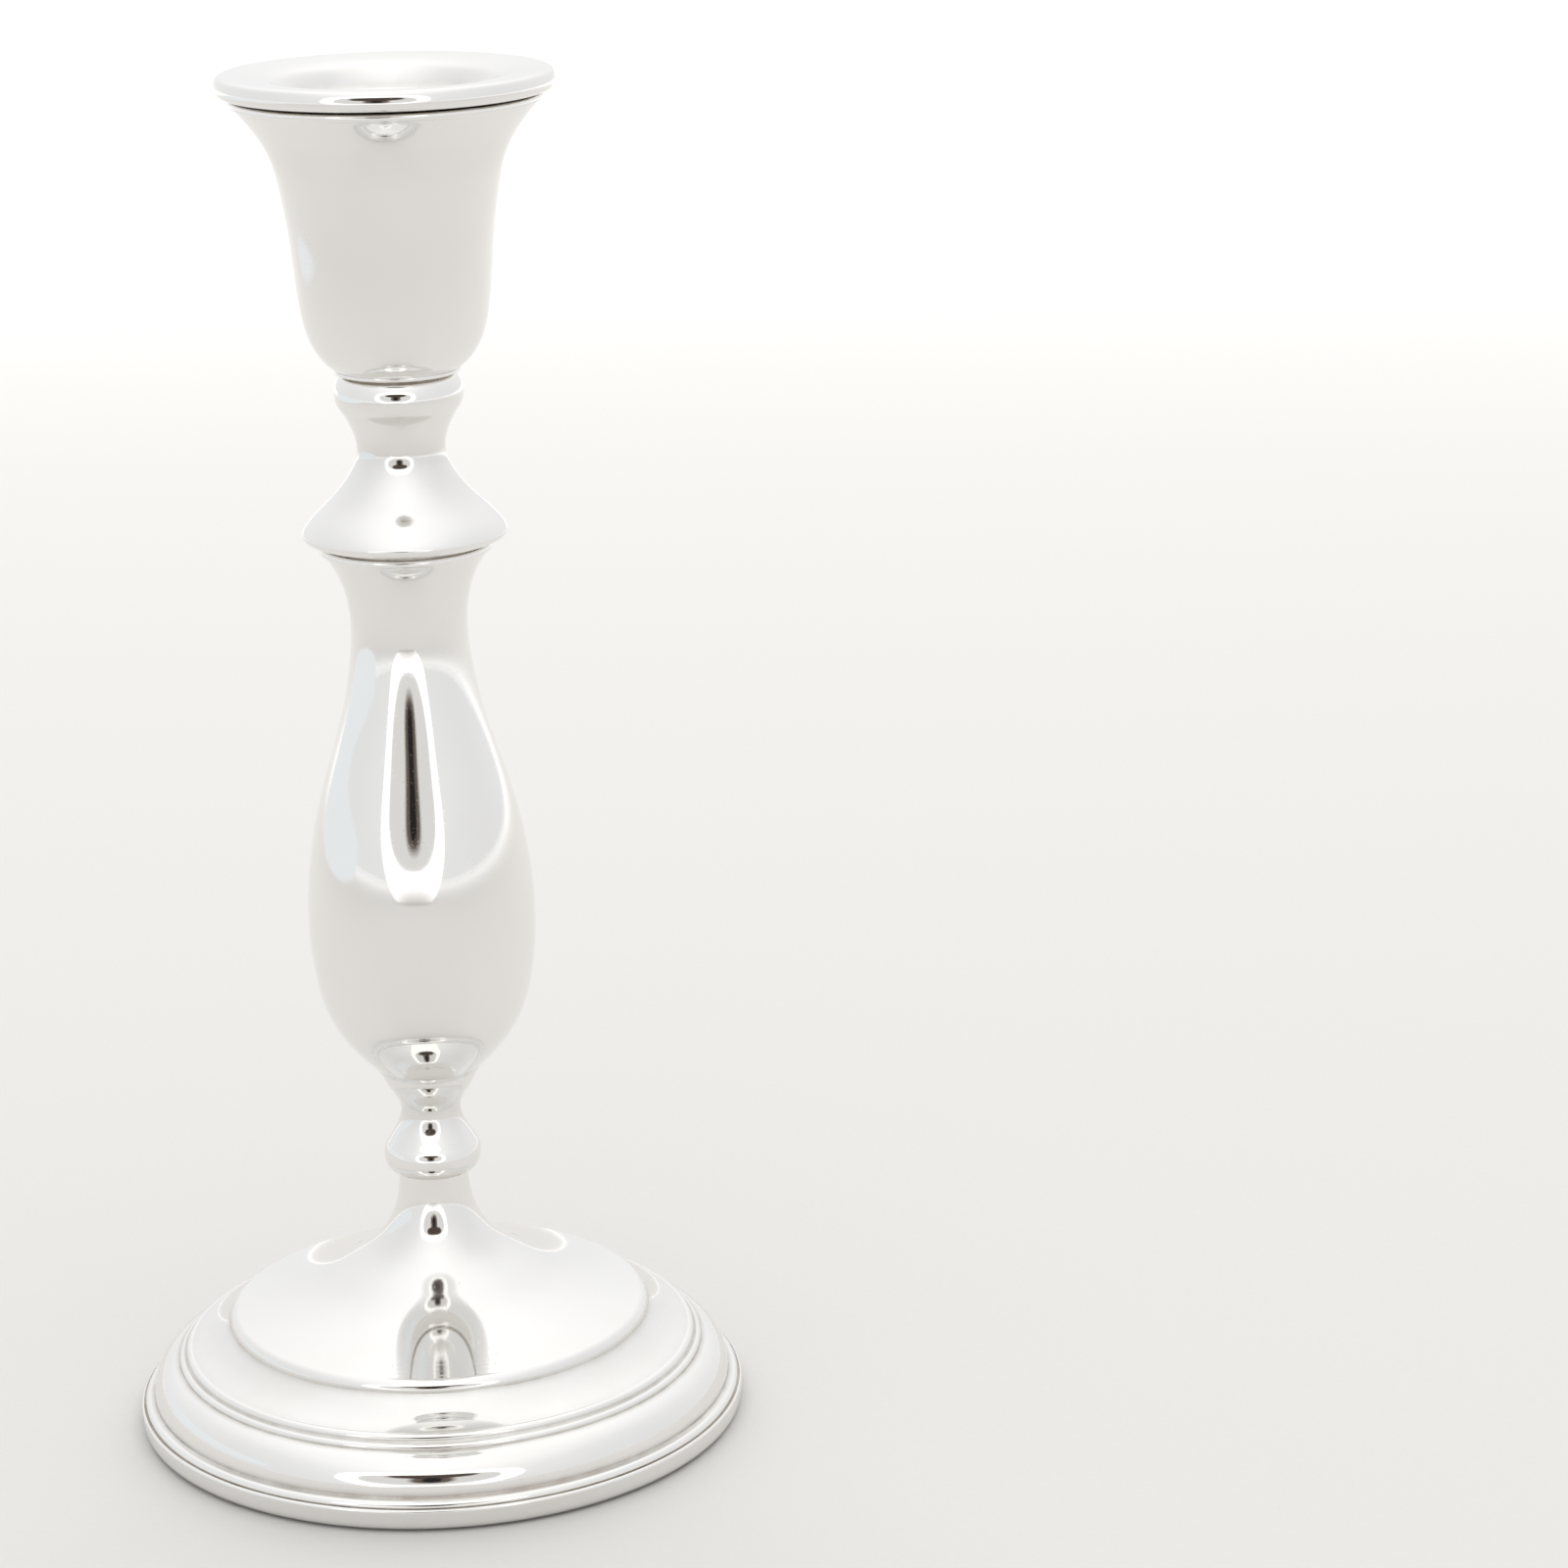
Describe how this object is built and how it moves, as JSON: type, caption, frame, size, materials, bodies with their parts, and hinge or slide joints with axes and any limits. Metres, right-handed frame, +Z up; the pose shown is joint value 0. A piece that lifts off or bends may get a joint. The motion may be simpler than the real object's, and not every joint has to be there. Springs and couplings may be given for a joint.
{
  "type": "candlestick",
  "caption": "Weighted silver table candlestick with a round trumpet foot, baluster stem, tulip cup and a dished nozzle that lifts out.",
  "frame": {"origin": "centre of the felt pad's underside, on the table", "axes": "+Z up along the stick's axis; X and Y are free, because every visible piece is turned about Z"},
  "size_m": [0.1016, 0.1016, 0.2255],
  "materials": {
    "silver": "polished",
    "filler": "matte",
    "steel": "satin",
    "plate": "matte",
    "felt": "matte"
  },
  "bodies": {
    "stick": {"cup_rim_wire": "silver", "cup": "silver", "cup_foot_ring": "silver", "socket_liner": "silver", "socket_floor": "silver", "upper_knop": "silver", "upper_knop_plate": "silver", "baluster_rim_wire": "silver", "baluster": "silver", "lower_knop": "silver", "base": "silver", "base_edge_band": "silver", "upper_knop_loading": "filler", "stem_loading": "filler", "base_loading": "filler", "tie_rod": "steel", "top_washer": "steel", "top_nut": "steel", "bottom_washer": "steel", "bottom_nut": "steel", "base_plate": "plate", "felt_pad": "felt"},
    "nozzle": {"nozzle_pan": "silver", "nozzle_tube": "silver", "nozzle_floor": "silver"}
  },
  "joints": [
    {"name": "nozzle_lift", "type": "slide", "parent": "stick", "child": "nozzle", "axis": [0, 0, 1], "range_m": [0, 0.04]}
  ]
}
